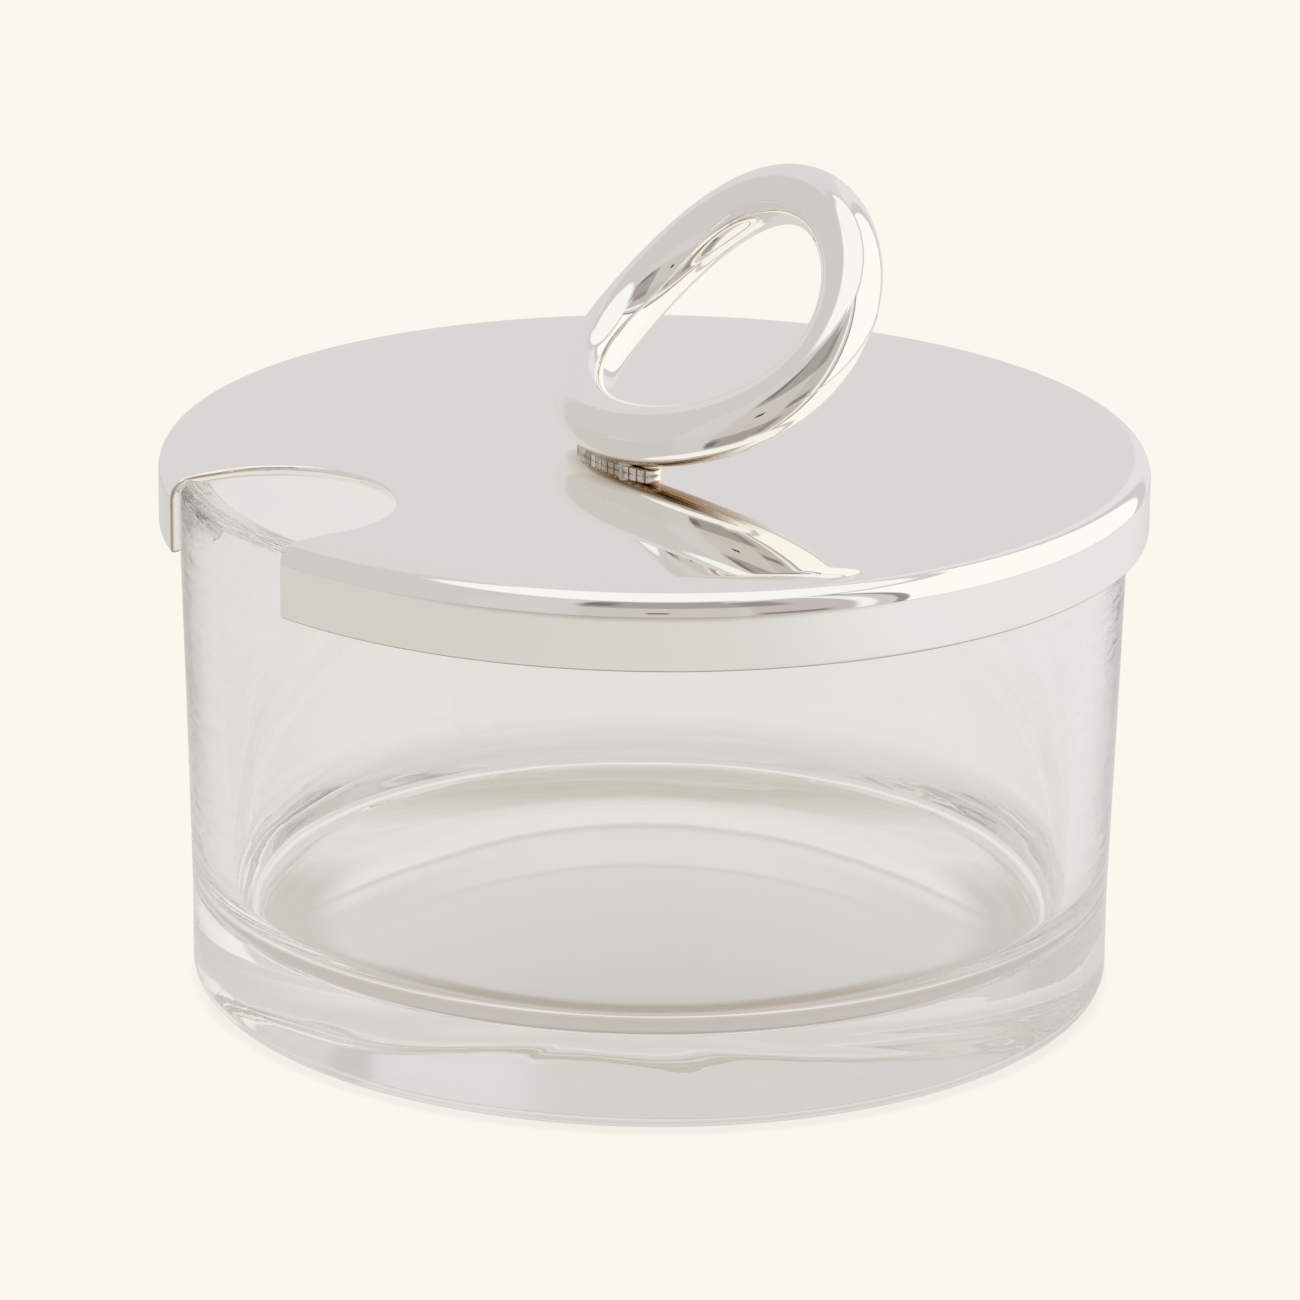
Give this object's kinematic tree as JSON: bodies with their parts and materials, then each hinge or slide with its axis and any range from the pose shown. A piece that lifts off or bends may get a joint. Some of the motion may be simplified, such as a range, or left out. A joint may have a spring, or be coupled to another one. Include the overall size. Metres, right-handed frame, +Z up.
{
  "type": "lidded glass bowl",
  "caption": "Round thick-walled glass table bowl with a loose metal cap lid, a spoon notch in the lid and a leaning ring handle.",
  "frame": {"origin": "middle of the bowl's flat base", "axes": "+Z up along the bowl's and the lid's common axis; the spoon notch opens in the direction 150 degrees clockwise from +X seen from above, towards -X and -Y, and the ring handle leans over towards +X and +Y"},
  "size_m": [0.115, 0.115, 0.0955],
  "materials": {
    "clear_glass": "clear, fire-polished",
    "silver_plate": "mirror-polished silver plate",
    "foot_silver": "polished with fine ribs",
    "screw_steel": "plain"
  },
  "bodies": {
    "bowl": {"glass_bowl": "clear_glass"},
    "lid": {"lid_cap": "silver_plate", "ring_handle": "silver_plate", "handle_foot": "foot_silver", "front_washer": "screw_steel", "rear_washer": "screw_steel", "front_screw": "screw_steel", "rear_screw": "screw_steel"}
  },
  "joints": [
    {"name": "lid_lift", "type": "slide", "parent": "bowl", "child": "lid", "axis": [0, 0, 1], "range_m": [0, 0.06]}
  ]
}
